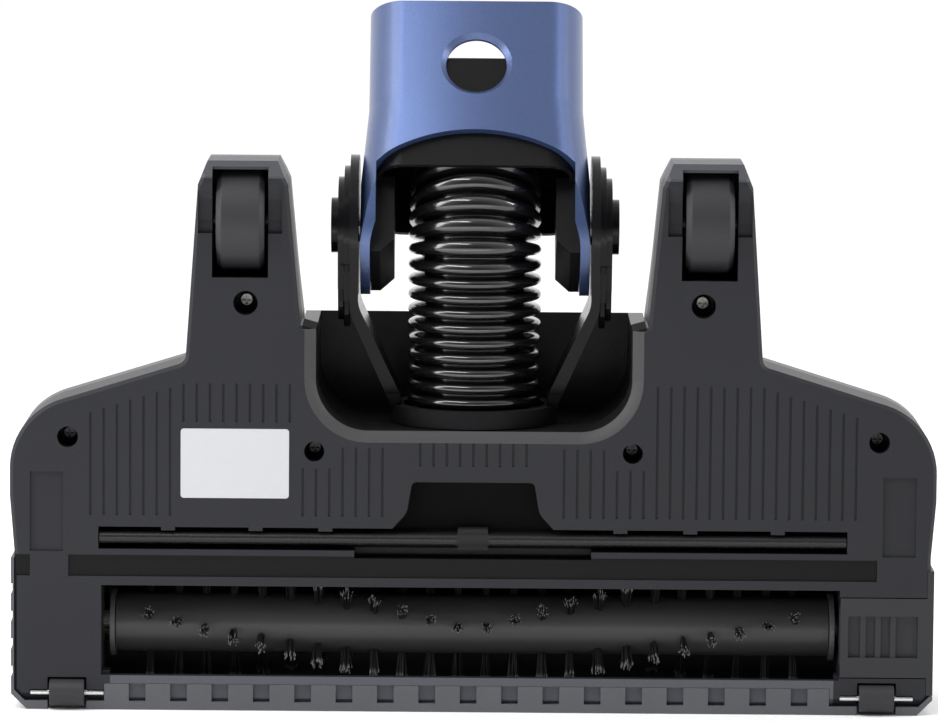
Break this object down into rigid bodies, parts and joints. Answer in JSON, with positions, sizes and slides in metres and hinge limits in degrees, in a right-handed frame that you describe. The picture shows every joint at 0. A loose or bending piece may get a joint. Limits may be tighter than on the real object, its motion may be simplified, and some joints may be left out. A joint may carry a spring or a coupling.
{
  "type": "vacuum brush",
  "caption": "Powered vacuum floor head: roller brush in a ribbed case, rear legs with wheels, swivelling fork, corrugated hose and a tilting neck socket.",
  "frame": {"origin": "on the flat front bumper that the head stands on, at its middle, below the swivel axis", "axes": "+X across the head, +Z from the front edge to the neck, -Y out of the underside"},
  "size_m": [0.2656, 0.0845, 0.2024],
  "materials": {
    "case_plastic": "satin",
    "cover_plastic": "satin",
    "cap_plastic": "satin",
    "bumper_rubber": "matte",
    "fork_plastic": "satin",
    "hose_plastic": "gloss",
    "cuff_plastic": "matte",
    "neck_blue": "satin metallic",
    "liner_plastic": "satin",
    "wheel_grey": "matte",
    "steel": "bright",
    "chamber_plastic": "matte",
    "core_plastic": "satin",
    "bristle": "soft",
    "strip": "satin",
    "motor_metal": "satin",
    "pulley": "satin",
    "belt": "matte",
    "bearing": "sintered",
    "board": "satin",
    "contact": "bright"
  },
  "bodies": {
    "head": {"lower_case": "case_plastic", "upper_housing": "cover_plastic", "front_bumper": "bumper_rubber", "brush_chamber": "chamber_plastic", "suction_duct": "chamber_plastic", "motor": "motor_metal", "drive_belt": "belt", "drive_bearing": "bearing", "floor_strip": "strip", "case_screws": "steel", "wheel_axle_left": "steel", "wheel_axle_right": "steel", "roller_pin_left": "steel", "roller_pin_right": "steel", "control_board": "board"},
    "rotor": {"motor_pulley": "pulley"},
    "drive": {"drive_shaft": "steel", "drive_pulley": "pulley"},
    "fork": {"yoke": "fork_plastic", "swivel_retainer": "fork_plastic", "pivot_pin_left": "steel", "pivot_pin_right": "steel", "pivot_cap_left": "fork_plastic", "pivot_cap_right": "fork_plastic", "hose": "hose_plastic", "hose_cuff_lower": "cuff_plastic"},
    "neck": {"neck_shell": "neck_blue", "neck_liner": "liner_plastic", "hose_cuff_upper": "cuff_plastic", "contact_block": "liner_plastic", "contact_pins": "contact"},
    "cap": {"end_cap": "cap_plastic", "cap_bearing": "bearing"},
    "brush": {"brush_core": "core_plastic", "brush_hub_left": "core_plastic", "brush_hub_right": "core_plastic", "brush_tufts": "bristle"},
    "wheel_left": {"rear_wheel_left": "wheel_grey"},
    "wheel_right": {"rear_wheel_right": "wheel_grey"},
    "roller_left": {"front_roller_left": "wheel_grey"},
    "roller_right": {"front_roller_right": "wheel_grey"}
  },
  "joints": [
    {"name": "neck_swivel", "type": "hinge", "parent": "head", "child": "fork", "pos_m": [0, 0.003, 0.08], "axis": [0, 0, 1], "range_deg": [-30, 30]},
    {"name": "neck_tilt", "type": "hinge", "parent": "fork", "child": "neck", "pos_m": [0, 0.003, 0.138], "axis": [-1, 0, 0], "range_deg": [-34, 56], "deforming": ["hose"]},
    {"name": "cap_slide", "type": "slide", "parent": "head", "child": "cap", "axis": [1, 0, 0], "range_m": [0, 0.24]},
    {"name": "brush_spin", "type": "hinge", "parent": "cap", "child": "brush", "pos_m": [0, -0.008, 0.0231], "axis": [1, 0, 0], "continuous": true},
    {"name": "drive_spin", "type": "hinge", "parent": "head", "child": "drive", "pos_m": [-0.11, -0.008, 0.0231], "axis": [1, 0, 0], "continuous": true},
    {"name": "motor_spin", "type": "hinge", "parent": "head", "child": "rotor", "pos_m": [-0.11, 0.01, 0.062], "axis": [1, 0, 0], "continuous": true},
    {"name": "wheel_left_spin", "type": "hinge", "parent": "head", "child": "wheel_left", "pos_m": [-0.067, -0.013, 0.1409], "axis": [1, 0, 0], "continuous": true},
    {"name": "roller_left_spin", "type": "hinge", "parent": "head", "child": "roller_left", "pos_m": [-0.1164, -0.0229, 0.0048], "axis": [1, 0, 0], "continuous": true},
    {"name": "wheel_right_spin", "type": "hinge", "parent": "head", "child": "wheel_right", "pos_m": [0.067, -0.013, 0.1409], "axis": [1, 0, 0], "continuous": true},
    {"name": "roller_right_spin", "type": "hinge", "parent": "head", "child": "roller_right", "pos_m": [0.1164, -0.0229, 0.0048], "axis": [1, 0, 0], "continuous": true}
  ],
  "couplings": [
    {"joint": "drive_spin", "follows": "brush_spin", "ratio": 1},
    {"joint": "motor_spin", "follows": "brush_spin", "ratio": 2}
  ]
}
